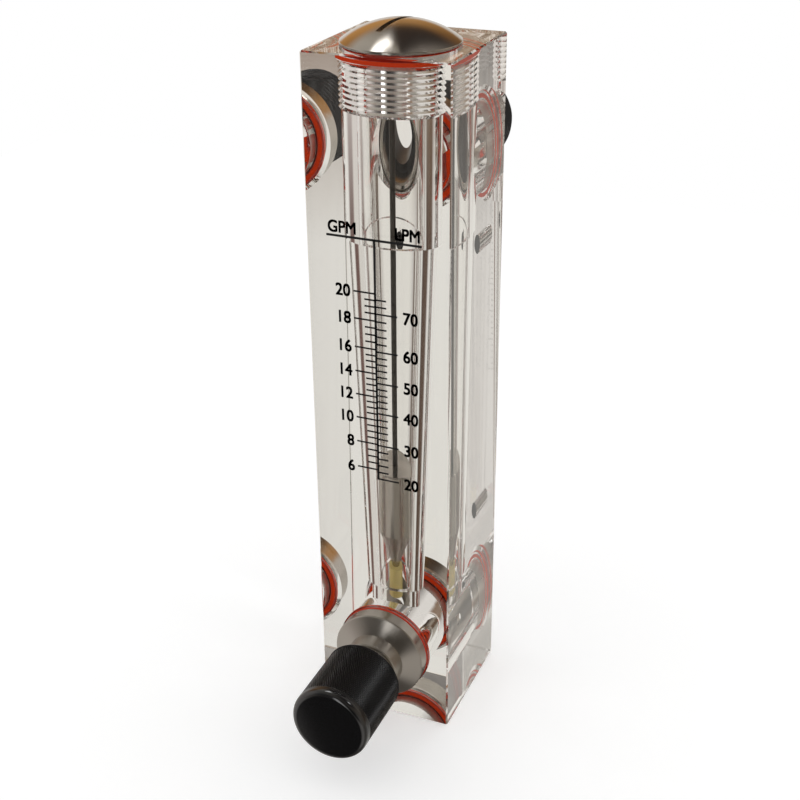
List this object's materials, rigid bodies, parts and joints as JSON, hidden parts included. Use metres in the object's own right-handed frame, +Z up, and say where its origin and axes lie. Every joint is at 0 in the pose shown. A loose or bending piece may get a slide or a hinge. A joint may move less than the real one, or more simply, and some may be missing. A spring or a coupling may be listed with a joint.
{
  "type": "rotameter",
  "caption": "Clear square block flow meter with a tapered bore, guided float, front needle valve knob, domed top plug and two rear pipe ports.",
  "frame": {"origin": "centre of the block's flat bottom face", "axes": "+Z up along the block, -Y out of the front face with the valve knob, +X to the right of the front face"},
  "size_m": [0.05, 0.1304, 0.2521],
  "materials": {
    "clear_acrylic": "polished clear cast acrylic",
    "stainless": "fine turned stainless steel",
    "dark_steel": "drawn steel rod",
    "red_rubber": "satin red silicone rubber",
    "black_rubber": "satin black rubber",
    "amber_plastic": "natural translucent plastic",
    "black_aluminium": "black anodised, diamond knurled",
    "black_plastic": "moulded black plastic"
  },
  "bodies": {
    "meter_body": {"body_block": "clear_acrylic", "top_plug": "stainless", "top_plug_o_ring": "red_rubber", "guide_rod": "dark_steel", "float_stop": "amber_plastic", "valve_bonnet": "stainless", "valve_bonnet_o_ring": "red_rubber", "valve_seat": "stainless", "inlet_fitting": "stainless", "inlet_o_ring": "red_rubber", "outlet_fitting": "stainless", "outlet_o_ring": "red_rubber", "outlet_nipple": "black_plastic", "lower_mounting_insert": "dark_steel", "upper_mounting_insert": "dark_steel"},
    "float": {"metering_float": "stainless"},
    "closing_plug": {"valve_plug": "stainless", "valve_plug_seal": "black_rubber"},
    "knob_and_stem": {"valve_stem": "stainless", "stem_o_rings": "black_rubber", "knob": "black_aluminium", "knob_set_screw": "dark_steel"}
  },
  "joints": [
    {"name": "float_rise", "type": "slide", "parent": "meter_body", "child": "float", "axis": [0, 0, 1], "range_m": [0, 0.128]},
    {"name": "plug_travel", "type": "slide", "parent": "meter_body", "child": "closing_plug", "axis": [0, 1, 0], "range_m": [-0.003, 0.0045]},
    {"name": "knob_turn", "type": "hinge", "parent": "closing_plug", "child": "knob_and_stem", "pos_m": [0, -0.0545, 0.0286], "axis": [0, 1, 0], "range_deg": [-720, 1080]}
  ],
  "couplings": [
    {"joint": "knob_turn", "follows": "plug_travel", "rad_per_m": 4188.8}
  ]
}
